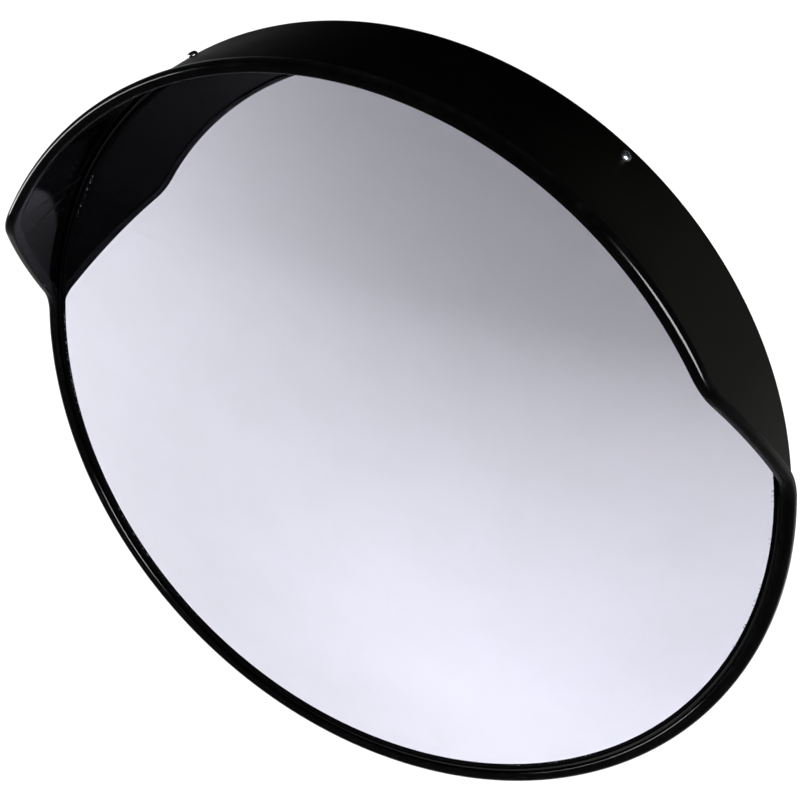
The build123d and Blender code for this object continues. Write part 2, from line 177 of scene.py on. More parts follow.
def smooth(obj, degrees):
    """Shades smooth, but keeps edges that turn by more than an angle."""
    only(obj)
    bpy.ops.object.shade_smooth_by_angle(angle=radians(degrees))


def place_mesh(obj, matrix):
    """Moves the piece in its mesh, so that its object stays at the origin."""
    obj.data.transform(matrix)
    obj.data.update()


def settle(obj):
    """Puts the object's own place into its mesh."""
    only(obj)
    bpy.ops.object.transform_apply(location=True, rotation=True, scale=True)


def turned_solid(name, points, steps):
    """A solid turned about +Z from (radius, height) points that start and end on the axis."""
    obj = outline_ring(name, points)
    open_loop(obj)
    spin_round(obj, steps)
    place_mesh(obj, Matrix.Rotation(pi / 2, 4, "X"))
    return obj


def modify(obj, kind, **settings):
    """Adds a modifier, sets it and applies it."""
    step = obj.modifiers.new("step", kind)
    for key, value in settings.items():
        setattr(step, key, value)
    only(obj)
    bpy.ops.object.modifier_apply(modifier=step.name)


def combine(obj, tool, operation):
    """Cuts a tool solid away, adds it, or keeps what is common to both."""
    modify(obj, "BOOLEAN", operation=operation, solver="EXACT", object=tool)
    bpy.data.objects.remove(tool)


def joined(name, objs):
    deselect()
    for obj in objs:
        obj.select_set(True)
    bpy.context.view_layer.objects.active = objs[0]
    bpy.ops.object.join()
    return named(bpy.context.object, name)


def copies(name, made, places):
    """Copies of one mesh at several places, joined as one piece."""
    parts = []
    for place in places:
        part = made.copy()
        part.data = made.data.copy()
        bpy.context.scene.collection.objects.link(part)
        place_mesh(part, place)
        parts.append(part)
    bpy.data.objects.remove(made)
    return joined(name, parts) if len(parts) > 1 else named(parts[0], name)


def along(axis, point):
    """Turns +Z to an axis and moves the origin to a point."""
    turn = Z_AXIS.rotation_difference(axis).to_matrix().to_4x4()
    return Matrix.Translation(Vector(point)) @ turn


def dress(obj, material):
    obj.data.materials.clear()
    obj.data.materials.append(material)


def fitted(obj, body, slot, material, *nodes):
    """Finishes a new piece: its material, the body it rides on and the nodes it stands for."""
    dress(obj, material)
    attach(obj, body)
    if nodes:
        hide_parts(*nodes)


def paint_node(node, material):
    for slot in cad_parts[node].material_slots:
        slot.material = material


# ---------------------------------------------------------------- materials

class Finish:
    """A material under construction, with short calls for its nodes."""

    def __init__(self, name, metallic=0.0):
        self.material = bpy.data.materials.get(name) or bpy.data.materials.new(name)
        self.material.use_nodes = True
        self.tree = self.material.node_tree
        self.tree.nodes.clear()
        out = self.tree.nodes.new("ShaderNodeOutputMaterial")
        self.shader = self.tree.nodes.new("ShaderNodeBsdfPrincipled")
        self.tree.links.new(self.shader.outputs[0], out.inputs["Surface"])
        self.set("Metallic", metallic)
        self.where = self.tree.nodes.new("ShaderNodeTexCoord").outputs["Object"]
        self.bumped = None

    def feed(self, socket, value):
        """Links a node's output to a socket, or sets a plain value."""
        if isinstance(value, bpy.types.NodeSocket):
            self.tree.links.new(value, socket)
        else:
            socket.default_value = value

    def set(self, socket, value):
        self.feed(self.shader.inputs[socket], value)

    def node(self, kind, inputs, **settings):
        node = self.tree.nodes.new(kind)
        for key, value in settings.items():
            setattr(node, key, value)
        for key, value in inputs.items():
            self.feed(node.inputs[key], value)
        return node

    def stretched(self, scale, turn=(0, 0, 0)):
        return self.node("ShaderNodeMapping", {
            "Vector": self.where, "Scale": scale, "Rotation": turn}).outputs[0]

    def noise(self, scale, detail=3.0, rough=0.55, where=None):
        return self.node("ShaderNodeTexNoise", {
            "Vector": where or self.where, "Scale": scale, "Detail": detail,
            "Roughness": rough}).outputs["Fac"]

    def cells(self, scale, where=None, feature="F1", output="Distance"):
        return self.node("ShaderNodeTexVoronoi", {
            "Vector": where or self.where, "Scale": scale}, feature=feature).outputs[output]

    def maths(self, operation, a, b=0.0):
        return self.node("ShaderNodeMath", {0: a, 1: b}, operation=operation).outputs[0]

    def times(self, a, b):
        return self.maths("MULTIPLY", a, b)

    def spread(self, value, low, high, to_low=0.0, to_high=1.0):
        """Maps a range softly to another one."""
        return self.node("ShaderNodeMapRange", {
            "Value": value, "From Min": low, "From Max": high, "To Min": to_low,
            "To Max": to_high}, interpolation_type="SMOOTHSTEP").outputs[0]

    def blend(self, factor, a, b):
        """Mixes two colours, each a node's output or a plain tuple."""
        a, b = ((*c, 1.0) if isinstance(c, tuple) else c for c in (a, b))
        return self.node("ShaderNodeMix", {0: factor, 6: a, 7: b}, data_type="RGBA").outputs[2]

    def bump(self, height, strength, depth):
        """Adds a relief on top of those before it."""
        inputs = {"Height": height, "Strength": strength, "Distance": depth}
        if self.bumped is not None:
            inputs["Normal"] = self.bumped
        self.bumped = self.node("ShaderNodeBump", inputs).outputs[0]
        self.set("Normal", self.bumped)

    def coordinates(self):
        return self.node("ShaderNodeSeparateXYZ", {0: self.where}).outputs

    def radius(self):
        """Distance from the mirror's axis."""
        x, _, z = self.coordinates()
        return self.maths("SQRT", self.maths("ADD", self.times(x, x), self.times(z, z)))


def mirror_film():
    f = Finish("mirror_film")
    haze = f.noise(22.0, 4.0, 0.6)
    specks = f.times(f.spread(f.cells(420.0), 0.06, 0.03), f.spread(f.noise(9.0), 0.52, 0.72))
    f.set("Roughness", f.maths("ADD", f.spread(haze, 0.3, 0.75, 0.012, 0.042),
                               f.times(specks, 0.2)))
    edge = f.spread(f.radius(), *CHIPPED_BAND)
    chip = f.spread(f.noise(380.0, 4.0, 0.7), 0.54, 0.60)
    lone = f.spread(f.noise(11.0, 1.0), 0.52, 0.58)
    chips = f.times(f.times(edge, chip), lone)
    tone = f.blend(f.spread(haze, 0.35, 0.7), (0.81, 0.805, 0.905), (0.79, 0.79, 0.88))
    tone = f.blend(f.times(specks, 0.3), tone, (0.72, 0.73, 0.76))
    f.set("Base Color", f.blend(chips, tone, (0.13, 0.18, 0.21)))
    f.set("Metallic", f.spread(chips, 0.0, 1.0, 1.0, 0.0))
    f.bump(f.noise(6.0, 1.0), 0.35, 0.0006)
    return f.material


def hood_plastic():
    """Black plastic, finely grained and matt outside, glossy with a few scratches inside; the
    outside's colour carries painted light, lighter towards the right.
    """
    f = Finish("hood_plastic")
    inside = f.spread(f.radius(), *INNER_FACE)
    grain = f.noise(900.0, 2.0, 0.5)
    patches = f.noise(14.0, 4.0, 0.6)
    scratch_map = f.stretched((1.0, 0.25, 3.5), (0.5, 0.9, 0.3))
    scratch = f.times(f.spread(f.cells(26.0, scratch_map, "DISTANCE_TO_EDGE"), 0.02, 0.008),
                      f.spread(f.noise(12.0, 1.0), 0.55, 0.7))
    outer_rough = f.spread(patches, 0.3, 0.75, 0.36, 0.46)
    inner_rough = f.maths("ADD", f.spread(patches, 0.3, 0.75, 0.04, 0.07),
                          f.times(scratch, 0.3))
    f.set("Roughness", f.node("ShaderNodeMix", {
        0: inside, 2: outer_rough, 3: inner_rough}).outputs[0])
    outer_tone = f.blend(f.spread(patches, 0.35, 0.7),
                         (0.0001, 0.0001, 0.0001), (0.0002, 0.0002, 0.0001))
    # Painted light: the outside's colour turns lighter towards the right, where more light falls on
    # it.
    painted_light_right = f.spread(f.coordinates()[0], 0.12, 0.30)
    outer_tone = f.blend(painted_light_right, outer_tone, (0.0064, 0.0066, 0.0052))
    inner_tone = f.blend(scratch, (0.0004, 0.0004, 0.0006), (0.0002, 0.0002, 0.0002))
    f.set("Base Color", f.blend(inside, outer_tone, inner_tone))
    f.set("IOR", 1.06)
    f.bump(f.times(grain, f.spread(inside, 0.0, 1.0, 1.0, 0.15)), 0.25, 0.00012)
    return f.material


def trim_gloss():
    f = Finish("trim_gloss")
    wear = f.noise(60.0, 5.0, 0.65)
    f.set("Roughness", f.spread(wear, 0.3, 0.75, 0.08, 0.20))
    f.set("Base Color", f.blend(f.spread(wear, 0.45, 0.7),
                                (0.0016, 0.0016, 0.0020), (0.0034, 0.0032, 0.0036)))
    f.set("IOR", 1.07)
    f.bump(f.noise(35.0, 2.0), 0.3, 0.00025)
    return f.material


def shell_plastic():
    """Matt black plastic with fine turning marks, and painted shade that darkens it deep in its
    front recess.
    """
    f = Finish("shell_plastic")
    cloud = f.noise(9.0, 4.0, 0.6)
    f.set("Roughness", f.spread(cloud, 0.3, 0.75, 0.62, 0.76))
    tone = f.blend(f.spread(cloud, 0.35, 0.7), (0.014, 0.014, 0.0145), (0.019, 0.019, 0.0195))
    # Painted shade: the colour turns near black deep in the front recess.
    painted_shade = f.spread(f.coordinates()[1], *SHELL_PAINTED_SHADE)
    f.set("Base Color", f.blend(painted_shade, tone, (0.0006, 0.0006, 0.0007)))
    f.set("IOR", 1.2)
    f.bump(f.cells(1400.0), 0.3, 0.00012)
    f.bump(f.maths("SINE", f.times(f.radius(), 900.0)), 0.05, 0.00004)
    return f.material


def gasket_rubber():
    f = Finish("gasket_rubber")
    cloud = f.noise(160.0, 4.0, 0.6)
    f.set("Roughness", f.spread(cloud, 0.3, 0.7, 0.52, 0.72))
    f.set("Base Color", f.blend(f.spread(cloud, 0.5, 0.75),
                                (0.0004, 0.0004, 0.0005), (0.0008, 0.0008, 0.0009)))
    f.set("IOR", 1.02)
    f.bump(cloud, 0.4, 0.0001)
    return f.material


def zinc(name, tone, rough):
    f = Finish(name, metallic=1.0)
    cloud = f.noise(240.0, 4.0, 0.6)
    lines = f.noise(900.0, 2.0, 0.5, f.stretched((1.0, 0.2, 1.0)))
    f.set("Roughness", f.spread(cloud, 0.3, 0.7, rough * 0.75, rough * 1.3))
    cool = tuple(c * k for c, k in zip(tone, (0.88, 0.92, 0.98)))
    f.set("Base Color", f.blend(f.spread(cloud, 0.4, 0.65), tone, cool))
    f.bump(lines, 0.25, 0.00004)
    return f.material


def zinc_sheet():
    f = Finish("zinc_sheet", metallic=1.0)
    spangle = f.cells(70.0, output="Color")
    level = f.node("ShaderNodeSeparateColor", {0: spangle}).outputs[0]
    f.set("Roughness", f.spread(level, 0.0, 1.0, 0.26, 0.46))
    f.set("Base Color", f.blend(level, (0.50, 0.51, 0.53), (0.62, 0.62, 0.62)))
    f.bump(f.noise(300.0, 3.0), 0.2, 0.00005)
    return f.material


def bracket_paint():
    f = Finish("bracket_paint")
    peel = f.noise(520.0, 2.0, 0.5)
    cloud = f.noise(28.0, 4.0, 0.6)
    f.set("Roughness", f.spread(cloud, 0.3, 0.75, 0.50, 0.64))
    f.set("Base Color", f.blend(f.spread(cloud, 0.4, 0.7),
                                (0.014, 0.014, 0.015), (0.021, 0.021, 0.022)))
    f.set("IOR", 1.3)
    f.bump(peel, 0.55, 0.00018)
    f.bump(cloud, 0.1, 0.0002)
    return f.material


def fibre():
    f = Finish("fibre")
    strands = f.noise(900.0, 5.0, 0.7, f.stretched((1.0, 1.0, 0.2)))
    f.set("Base Color", f.blend(f.spread(strands, 0.35, 0.7),
                                (0.25, 0.085, 0.045), (0.15, 0.05, 0.03)))
    f.set("Roughness", f.spread(strands, 0.3, 0.7, 0.6, 0.82))
    f.bump(strands, 0.5, 0.00008)
    return f.material


def floor_paper():
    f = Finish("floor_paper")
    f.set("Roughness", 0.85)
    f.set("Base Color", f.blend(f.noise(1.5, 2.0), (0.86, 0.86, 0.865), (0.87, 0.87, 0.872)))
    f.set("Specular IOR Level", 0.0)
    return f.material


# ---------------------------------------------------------------- free edge of the hood

class Edge:
    """Side outline of the free edge, in metres: flat ring, ramp and crown with round corners."""

    ring_y = -4.8 * MM
    foot_z = 29.8 * MM
    top_y = -86.8 * MM
    top_z = 129.6 * MM
    crown_y = -90.6 * MM
    crown_z = 292.2 * MM
    foot_round = 34.0 * MM
    top_round = 36.0 * MM

    def __init__(self):
        ramp = Vector((self.top_y - self.ring_y, self.top_z - self.foot_z)).normalized()
        crown = Vector((self.crown_y - self.top_y, self.crown_z - self.top_z)).normalized()
        self.ramp_n = Vector((ramp.y, -ramp.x))
        self.crown_n = Vector((crown.y, -crown.x))
        self.foot = Vector((self.ring_y, self.foot_z))
        self.top = Vector((self.top_y, self.top_z))
        self.foot_c = self.corner(self.foot, Vector((1, 0)), self.ramp_n, -self.foot_round)
        self.top_c = self.corner(self.top, self.ramp_n, self.crown_n, self.top_round)

    @staticmethod
    def corner(point, n1, n2, reach):
        """The point at one distance from the two lines through a corner."""
        middle = (n1 + n2).normalized()
        return point + middle * (reach / middle.dot(n1))

    def y(self, z, depth):
        """Place of the surface that lies a depth behind the free edge, at a height."""
        foot_r = self.foot_round + depth
        top_r = self.top_round - depth
        if z <= self.foot_c.y:
            return self.ring_y + depth
        if z <= self.foot_c.y + foot_r * self.ramp_n.y:
            return self.foot_c.x + sqrt(foot_r**2 - (z - self.foot_c.y)**2)
        if z <= self.top_c.y - top_r * self.ramp_n.y:
            return self.foot.x + (depth - (z - self.foot.y) * self.ramp_n.y) / self.ramp_n.x
        if z <= self.top_c.y - top_r * self.crown_n.y:
            return self.top_c.x - sqrt(top_r**2 - (z - self.top_c.y)**2)
        return self.top.x + (depth - (z - self.top.y) * self.crown_n.y) / self.crown_n.x

    def lay(self, vertex):
        """Moves a vertex from its depth, given as y, to its place behind the edge."""
        vertex.co.y = RIM_Y + self.y(vertex.co.z, vertex.co.y)


def arc_points(centre, radius, start, end, count):
    """Points (radius from the axis, depth) on an arc, angles in degrees."""
    step = (end - start) / (count - 1)
    return [(centre[0] + radius * cos(radians(start + i * step)),
             centre[1] + radius * sin(radians(start + i * step))) for i in range(count)]


def bead_section():
    """Section of the bead: radius from the axis and depth behind its front."""
    out_r, in_r, depth = 299.8 * MM, 291.0 * MM, 8.0 * MM
    big, small, lip = 4.6 * MM, 1.9 * MM, 0.45 * MM
    return [*arc_points((out_r - lip, depth - lip), lip, 90, 0, 6),
            *arc_points((out_r - big, big), big, 0, -90, 22),
            *arc_points((in_r + small, small), small, -90, -180, 9),
            *arc_points((in_r + lip, depth - lip), lip, 180, 90, 4),
            (WALL_IN, depth), (WALL_IN, WALL_CAP), (WALL_OUT, WALL_CAP), (WALL_OUT, depth)]


# ---------------------------------------------------------------- screws, bolts, nuts, washers

def pan_screw():
    """A pan-head screw along +Z with its head's seat at the origin and a cross recess."""
    shank = [(0.0, -5.8), (1.3, -5.8), (2.08, -5.0), (2.08, 0.0)]
    head = [(4.15, 0.0), (4.15, 0.7), (4.02, 1.35), (3.65, 2.0), (3.05, 2.55), (2.2, 2.95),
            (1.2, 3.14), (0.0, 3.2)]
    wing_size = (4.6 * MM, 0.95 * MM, 3.6 * MM)
    foot_share = (0.35, 0.7)
    obj = turned_solid("pan_screw", [(r * MM, h * MM) for r, h in shank + head], 48)
    for turn in (0.0, pi / 2):
        deselect()
        bpy.ops.mesh.primitive_cube_add(size=1.0)
        wing = bpy.context.object
        place_mesh(wing, Matrix.Diagonal((*wing_size, 1.0)))
        for vertex in wing.data.vertices:
            if vertex.co.z < 0:
                vertex.co.x *= foot_share[0]
                vertex.co.y *= foot_share[1]
        top = Matrix.Translation((0, 0, head[-1][1] * MM))
        place_mesh(wing, Matrix.Rotation(turn, 4, "Z") @ top)
        combine(obj, wing, "DIFFERENCE")
    return obj


def hex_solid(name, flats, height):
    """A hexagon with its corners turned off at the top, standing on the origin."""
    corner = flats / sqrt(3)
    face = flats * 0.475
    outside = corner * 1.001
    deselect()
    bpy.ops.mesh.primitive_cylinder_add(vertices=6, radius=corner, depth=height,
                                        location=(0, 0, height / 2))
    obj = named(bpy.context.object, name)
    settle(obj)
    rise = (corner - face) * tan(radians(30))
    blank = turned_solid("blank", [(0, 0), (outside, 0), (outside, height - rise),
                                   (face, height), (0, height)], 72)
    combine(obj, blank, "INTERSECT")
    return obj


def thread(radius, pitch, start, turns):
    """One helical ridge round a shank along +Z, its foot sunk in the shank."""
    foot = radius - 0.70 * pitch
    section = [(foot, 0.0), (radius, 0.40), (radius, 0.50), (foot, 0.90)]
    obj = loop("thread", [(r, 0.0, start + rise * pitch) for r, rise in section])
    modify(obj, "SCREW", angle=2 * pi, screw_offset=pitch, iterations=turns, steps=32,
           render_steps=32)
    edit_all(obj)
    bpy.ops.mesh.fill_holes(sides=4)
    bpy.ops.mesh.select_all(action="SELECT")
    bpy.ops.mesh.normals_make_consistent(inside=False)
    bpy.ops.object.mode_set(mode="OBJECT")
    return obj


def hex_bolt(flats, head, radius, length, pitch, turns):
    """A bolt along +Z with its head below the origin and its thread at the far end."""
    cap = hex_solid("cap", flats, head)
    place_mesh(cap, Matrix.Rotation(pi, 4, "X"))
    root = radius - 0.62 * pitch
    run = pitch * (turns + 1.2)
    shank = turned_solid("shank", [(0, 0), (radius, 0), (radius, length - run - 0.4 * pitch),
                                   (root, length - run), (root, length - 0.5 * pitch),
                                   (root - 0.4 * pitch, length), (0, length)], 40)
    ridge = thread(radius, pitch, length - run, turns)
    obj = joined("bolt", [cap, shank, ridge])
    smooth(obj, 28)
    return obj


def hex_nut(flats, height, bore, collar=0.0):
    """A hexagon nut on the origin along +Z, with a round locking collar when asked."""
    obj = hex_solid("nut", flats, height - collar)
    if collar:
        foot = height - collar - 0.5 * MM
        wide, narrow = flats * 0.44, flats * 0.41
        rim = turned_solid("rim", [(0, foot), (wide, foot), (wide, height - 0.8 * MM),
                                   (narrow, height), (0, height)], 64)
        combine(obj, rim, "UNION")
    lead = 0.9 * MM
    mouth = bore + lead
    drill = turned_solid("drill", [(0, -MM), (mouth, -MM), (mouth, 0), (bore, lead),
                                   (bore, height - lead), (mouth, height), (mouth, height + MM),
                                   (0, height + MM)], 40)
    combine(obj, drill, "DIFFERENCE")
    smooth(obj, 28)
    return obj


def flat_washer(bore, outer, thick):
    """A punched washer on the origin along +Z, one edge rounded over."""
    soft = thick * 0.35
    near = soft * 0.3
    obj = outline_ring("washer", [(bore, 0.0), (outer, 0.0), (outer, thick - soft),
                                  (outer - near, thick - near), (outer - soft, thick),
                                  (bore, thick)])
    spin_round(obj, 56)
    place_mesh(obj, Matrix.Rotation(pi / 2, 4, "X"))
    smooth(obj, 28)
    return obj


# ---------------------------------------------------------------- steel and welds

def edged_copy(node, name):
    """A copy of a CAD node with its sharp edges broken, as pressed and cut steel has."""
    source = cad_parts[node]
    obj = source.copy()
    obj.data = source.data.copy()
    obj.parent = None
    for key in list(obj.keys()):
        del obj[key]
    bpy.context.scene.collection.objects.link(obj)
    named(obj, name)
    only(obj)
    bpy.ops.object.mode_set(mode="EDIT")
    bpy.ops.mesh.select_mode(type="VERT")
    bpy.ops.mesh.select_all(action="SELECT")
    bpy.ops.mesh.remove_doubles(threshold=2e-6)
    bpy.ops.mesh.customdata_custom_splitnormals_clear()
    bpy.ops.mesh.select_all(action="SELECT")
    bpy.ops.mesh.dissolve_limited(angle_limit=radians(1.0))
    bpy.ops.object.mode_set(mode="OBJECT")
    modify(obj, "BEVEL", width=BROKEN_EDGE, segments=2, limit_method="ANGLE",
           angle_limit=radians(40))
    smooth(obj, 50)
    modify(obj, "WEIGHTED_NORMAL", keep_sharp=True)
    return obj


def weld_run(points, radius):
    """A weld bead of overlapping ripples through a line of points."""
    legs = [(Vector(a), Vector(b)) for a, b in zip(points, points[1:])]
    length = sum((b - a).length for a, b in legs)
    count = max(3, round(length / (radius * 0.55)))
    deselect()
    bpy.ops.mesh.primitive_uv_sphere_add(segments=10, ring_count=6, radius=radius)
    ripple = bpy.context.object
    places = []
    for i in range(count + 1):
        left = length * i / count
        for a, b in legs:
            if left <= (b - a).length + 1e-9:
                places.append(Matrix.Translation(a + (b - a).normalized() * left))
                break
            left -= (b - a).length
    return copies("weld", ripple, places)


def barrel_ring(centre_y, axis, toward):
    """The line on which the arm's tube meets the side of a cross barrel."""
    across = axis.cross(Y_AXIS)
    points = []
    for i in range(49):
        angle = 2 * pi * i / 48
        wide = TUBE_RADIUS * cos(angle)
        deep = sqrt(max(0.0, BARREL_RADIUS**2 - wide**2))
        points.append(axis * (TUBE_RADIUS * sin(angle)) + across * wide
                      + Vector((0, centre_y + toward * deep, 0)))
    return points


# ---------------------------------------------------------------- properties

class MirrorSettings(bpy.types.PropertyGroup):
    dome_radius: bpy.props.FloatProperty(
        name="Dome radius", description="Radius of the mirror's front surface",
        default=0.950, unit="LENGTH", subtype="DISTANCE")
    lens_radius: bpy.props.FloatProperty(
        name="Lens radius", description="Outer radius of the mirrored lens",
        default=(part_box("mirror_lens")[1][0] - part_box("mirror_lens")[0][0]) / 2,
        unit="LENGTH", subtype="DISTANCE")
    lens_thickness: bpy.props.FloatProperty(
        name="Lens thickness", description="Thickness of the lens",
        default=2.8 * MM, unit="LENGTH", subtype="DISTANCE")
    floor_drop: bpy.props.FloatProperty(
        name="Floor", description="Height of the floor below the mirror's axis",
        default=0.62, unit="LENGTH", subtype="DISTANCE")
    key_power: bpy.props.FloatProperty(
        name="Key light", description="Power that the shares of the studio lights are taken from",
        default=100.0, min=0.0, subtype="POWER")


# ---------------------------------------------------------------- operators

class MIRROR_OT_lens(bpy.types.Operator):
    """Makes the domed mirror"""
    bl_idname = "mirror.lens"
    bl_label = "Domed mirror"

    def execute(self, context):
        s = context.scene.mirror_settings
        centre_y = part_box("mirror_lens")[0][1] + s.dome_radius
        inner = s.dome_radius - s.lens_thickness
        rings = 48
        radii = [s.lens_radius * i / rings for i in range(rings + 1)]
        points = [(r, centre_y - sqrt(s.dome_radius**2 - r**2)) for r in radii]
        points += [(r, centre_y - sqrt(inner**2 - r**2)) for r in reversed(radii)]
        obj = outline_ring("mirror_lens_dome", points)
        open_loop(obj)
        spin_round(obj, 256)
        smooth(obj, 40)
        fitted(obj, "head", "mirror_film", mirror_film(), "mirror_lens")
        return {"FINISHED"}


class MIRROR_OT_bead(bpy.types.Operator):
    """Makes the bead that follows the ring, the ramps and the hood"""
    bl_idname = "mirror.bead"
    bl_label = "Edge bead"

    def execute(self, context):
        edge = Edge()
        obj = outline_ring("edge_bead", bead_section())
        spin_round(obj, STEPS_ROUND)
        for vertex in obj.data.vertices:
            edge.lay(vertex)
        smooth(obj, 50)
        fitted(obj, "head", "trim_gloss", trim_gloss(), "edge_trim")
        return {"FINISHED"}


class MIRROR_OT_hood(bpy.types.Operator):
    """Makes the hood wall, and gives the gasket and the rear shell their finishes"""
    bl_idname = "mirror.hood"
    bl_label = "Hood and shell"

    def execute(self, context):
        edge = Edge()
        snap, chamfer = 2.6 * MM, 0.3 * MM
        far = 1.0    # keeps the straight rear end apart from the end that follows the edge
        back = far + RING_BACK
        points = [(WALL_IN, WALL_CAP), (WALL_OUT, WALL_CAP), (WALL_OUT, back - chamfer),
                  (WALL_OUT - chamfer, back), (WALL_IN - snap, back), (WALL_IN, back - snap)]
        obj = outline_ring("hood_wall", points)
        spin_round(obj, STEPS_ROUND)
        for vertex in obj.data.vertices:
            if vertex.co.y > far / 2:
                vertex.co.y += RIM_Y - far
            else:
                edge.lay(vertex)
        smooth(obj, 30)
        fitted(obj, "head", "hood_plastic", hood_plastic(), "hood_frame")
        paint_node("lens_gasket", gasket_rubber())
        paint_node("rear_shell", shell_plastic())
        return {"FINISHED"}


class MIRROR_OT_screws(bpy.types.Operator):
    """Makes the two pan-head screws in the hood"""
    bl_idname = "mirror.screws"
    bl_label = "Hood screws"

    def execute(self, context):
        seat, back_off = 294.22 * MM, 4.6 * MM
        places = []
        for angle, turn in zip(SCREW_ANGLES, SCREW_TURNS):
            out = Vector((sin(radians(angle)), 0, cos(radians(angle))))
            place = along(out, out * seat + Vector((0, RIM_Y - back_off, 0)))
            places.append(place @ Matrix.Rotation(radians(turn), 4, "Z"))
        obj = copies("hood_screws", pan_screw(), places)
        smooth(obj, 35)
        dark = zinc("zinc_dark", (0.085, 0.090, 0.095), 0.26)
        fitted(obj, "head", "zinc", dark, "frame_screws")
        return {"FINISHED"}


class MIRROR_OT_fixings(bpy.types.Operator):
    """Makes the bolts, nuts and washers, and finishes the plate and the discs"""
    bl_idname = "mirror.fixings"
    bl_label = "Fixings"

    def execute(self, context):
        bright = zinc("zinc", (0.55, 0.55, 0.54), 0.30)

        bolts, nuts, washers = (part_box("bracket_" + kind) for kind in ("bolts", "nuts", "washers"))
        head = 4 * MM
        seat = bolts[0][1] + head
        bolt = hex_bolt(HEAD_FLATS, head, 3 * MM, bolts[1][1] - seat, 1.0 * MM, 6)
        nut = hex_nut(HEAD_FLATS, 5 * MM, 3.02 * MM)
        washer = flat_washer(3.2 * MM, 6 * MM, 1.6 * MM)
        for kind, made, y in (("bolts", bolt, seat), ("nuts", nut, nuts[0][1]),
                              ("washers", washer, washers[0][1])):
            places = [along(Y_AXIS, (x, y, z)) for x in (-BOLT_OFFSET, BOLT_OFFSET)
                      for z in (-BOLT_OFFSET, BOLT_OFFSET)]
            obj = copies("head_" + kind, made, places)
            fitted(obj, "head", "zinc", bright, "bracket_" + kind)

        thick = 2.0 * MM
        for pivot, body, axis, y, lug in (("tilt", "head", X_AXIS, TILT_Y, TILT_LUG),
                                          ("pan", "base", Z_AXIS, PAN_Y, PAN_LUG)):
            centre = Vector((0, y, 0))
            lug_out = LUG_IN + lug
            seat = lug_out + thick
            past_nut = 12.0 * MM
            bolt = copies(pivot + "_pivot_bolt",
                          hex_bolt(PIVOT_FLATS, 6.4 * MM, 5 * MM, 2 * seat + past_nut, 1.5 * MM, 9),
                          [along(axis, centre - axis * seat)])
            nut = copies(pivot + "_lock_nut",
                         hex_nut(PIVOT_FLATS, 9 * MM, 5.02 * MM, collar=2.6 * MM),
                         [along(axis, centre + axis * seat)])
            rings = copies(pivot + "_pivot_washers", flat_washer(5.25 * MM, 10 * MM, thick),
                           [along(axis, centre + axis * lug_out),
                            along(-axis, centre - axis * lug_out)])
            for kind, obj in (("bolt", bolt), ("nut", nut), ("washers", rings)):
                fitted(obj, body, "zinc", bright, pivot + "_" + kind)

        paint_node("backing_plate", zinc_sheet())
        for node in ("tilt_friction_discs", "pan_friction_discs"):
            paint_node(node, fibre())
        return {"FINISHED"}


class MIRROR_OT_bracket(bpy.types.Operator):
    """Makes the wall bracket, the arm and the head bracket with their welds"""
    bl_idname = "mirror.bracket"
    bl_label = "Bracket"

    def execute(self, context):
        paint = bracket_paint()
        for node, body in (("wall_bracket", "base"), ("head_bracket", "head"),
                           ("swivel_arm", "arm")):
            fitted(edged_copy(node, node + "_steel"), body, "bracket_paint", paint, node)

        bead, arm_bead = 1.5 * MM, 1.3 * MM
        lug_half, gusset_half, ear_half = 19.0 * MM, 2.6 * MM, 15.5 * MM
        wall_runs, head_runs = [], []
        wall_y = -PLATE
        head_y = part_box("head_bracket")[0][1] + PLATE
        for side in (-1, 1):
            z = side * (LUG_IN + PAN_LUG)
            for ends in ((-lug_half, -gusset_half), (gusset_half, lug_half)):
                wall_runs.append(weld_run([(x, wall_y, z) for x in ends], bead))
        fitted(joined("wall_bracket_welds", wall_runs), "base", "bracket_paint", paint)
        for side in (-1, 1):
            x = side * (LUG_IN + TILT_LUG)
            head_runs.append(weld_run([(x, head_y, z) for z in (-ear_half, ear_half)], bead))
        fitted(joined("head_bracket_welds", head_runs), "head", "bracket_paint", paint)
        arm_runs = [weld_run(barrel_ring(PAN_Y, Z_AXIS, -1), arm_bead),
                    weld_run(barrel_ring(TILT_Y, X_AXIS, 1), arm_bead)]
        fitted(joined("swivel_arm_welds", arm_runs), "arm", "bracket_paint", paint)
        return {"FINISHED"}


# ---------------------------------------------------------------- stage

def soft_light(name, place, target, size, power, highlights=True, shape="RECTANGLE", long=None):
    """A hidden soft light, which only makes highlights or only lights matt surfaces."""
    data = bpy.data.lights.new(name, "AREA")
    data.shape = shape
    data.size, data.size_y = size
    data.energy = power
    lamp = bpy.data.objects.new(name, data)
    bpy.context.scene.collection.objects.link(lamp)
    lamp.location = place
    ahead = (Vector(target) - Vector(place)).normalized()
    lamp.rotation_euler = ahead.to_track_quat("-Z", "Y").to_euler()
    if long:
        across = ahead.cross(Vector(long)).normalized()
        turned = Matrix((across, -ahead.cross(across), -ahead)).transposed()
        lamp.rotation_euler = turned.to_euler()
    lamp.visible_camera = False
    lamp.visible_glossy = highlights
    lamp.visible_diffuse = not highlights


